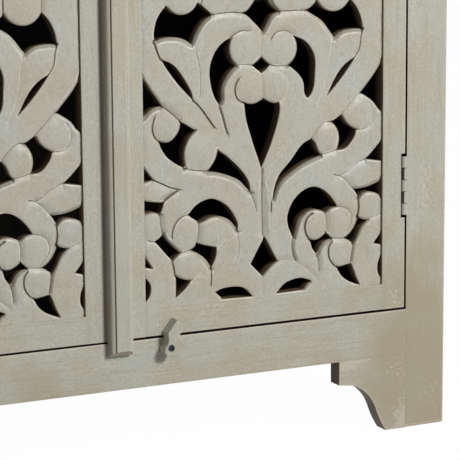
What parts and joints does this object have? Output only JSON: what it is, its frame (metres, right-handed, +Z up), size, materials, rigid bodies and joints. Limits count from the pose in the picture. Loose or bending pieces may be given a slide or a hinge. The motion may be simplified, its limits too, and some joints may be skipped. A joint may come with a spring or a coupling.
{
  "type": "tall cabinet",
  "caption": "Tall painted wooden cabinet with pierced scroll-carved doors on butt hinges, shelves inside, ogee bracket feet and a wooden turn button on the bottom rail.",
  "frame": {"origin": "on the floor, under the middle of the overall box", "axes": "+Z up, +X to the viewer's right, the doors face -Y"},
  "size_m": [0.914, 0.48, 1.8],
  "materials": {
    "painted_wood": "thin grey-green wash, rubbed back to tan wood at the edges",
    "carved_painted_wood": "thin grey-green wash over carving, brown in the cut sides",
    "dark_stained_wood": "near-black stain",
    "hinge_steel": "painted over, worn at the knuckles",
    "dark_steel": "blackened steel"
  },
  "bodies": {
    "carcass": {"top_board": "painted_wood", "bottom_board": "dark_stained_wood", "shelf_lower": "dark_stained_wood", "shelf_middle": "dark_stained_wood", "shelf_upper": "dark_stained_wood", "rear_rail_top": "dark_stained_wood", "back_board_left": "dark_stained_wood", "back_board_middle": "dark_stained_wood", "back_board_right": "dark_stained_wood", "back_board_nails": "dark_steel", "face_rail_top": "painted_wood", "face_rail_bottom": "painted_wood", "door_stop_bottom": "dark_stained_wood", "door_stop_top": "dark_stained_wood", "turn_button_screw": "dark_steel", "turn_button_washer": "hinge_steel", "side_panel_left": "painted_wood", "side_panel_right": "painted_wood", "face_stile_left": "painted_wood", "face_stile_right": "painted_wood", "shelf_battens_left": "dark_stained_wood", "shelf_battens_right": "dark_stained_wood", "foot_bracket_front_left": "painted_wood", "foot_bracket_front_right": "painted_wood", "foot_bracket_side_left": "painted_wood", "foot_bracket_side_right": "painted_wood", "foot_bracket_rear_left": "painted_wood", "foot_bracket_rear_right": "painted_wood", "foot_block_front_left": "dark_stained_wood", "foot_block_front_right": "dark_stained_wood", "foot_block_rear_left": "dark_stained_wood", "foot_block_rear_right": "dark_stained_wood", "hinge_frame_leaves_left": "hinge_steel", "hinge_frame_leaves_right": "hinge_steel", "hinge_frame_screws_left": "hinge_steel", "hinge_frame_screws_right": "hinge_steel", "hinge_pins_left": "hinge_steel", "hinge_pins_right": "hinge_steel"},
    "left_door": {"door_meeting_stile_left": "painted_wood", "door_hinge_stile_left": "painted_wood", "door_rail_bottom_left": "painted_wood", "door_rail_top_left": "painted_wood", "carved_panel_left": "carved_painted_wood", "hinge_door_leaves_left": "hinge_steel", "hinge_door_screws_left": "hinge_steel"},
    "right_door": {"door_meeting_stile_right": "painted_wood", "door_hinge_stile_right": "painted_wood", "door_rail_bottom_right": "painted_wood", "door_rail_top_right": "painted_wood", "carved_panel_right": "carved_painted_wood", "hinge_door_leaves_right": "hinge_steel", "hinge_door_screws_right": "hinge_steel", "astragal": "painted_wood", "door_knob": "painted_wood"},
    "turn_button": {"turn_button": "painted_wood"}
  },
  "joints": [
    {"name": "right_door_hinge", "type": "hinge", "parent": "carcass", "child": "right_door", "pos_m": [0.3902, -0.2, 0.933], "axis": [0, 0, 1], "range_deg": [0, 110]},
    {"name": "left_door_hinge", "type": "hinge", "parent": "carcass", "child": "left_door", "pos_m": [-0.3902, -0.2, 0.933], "axis": [0, 0, -1], "range_deg": [0, 110]},
    {"name": "turn_button_pivot", "type": "hinge", "parent": "carcass", "child": "turn_button", "pos_m": [0.0635, -0.2, 0.1437], "axis": [0, -1, 0], "continuous": true}
  ]
}
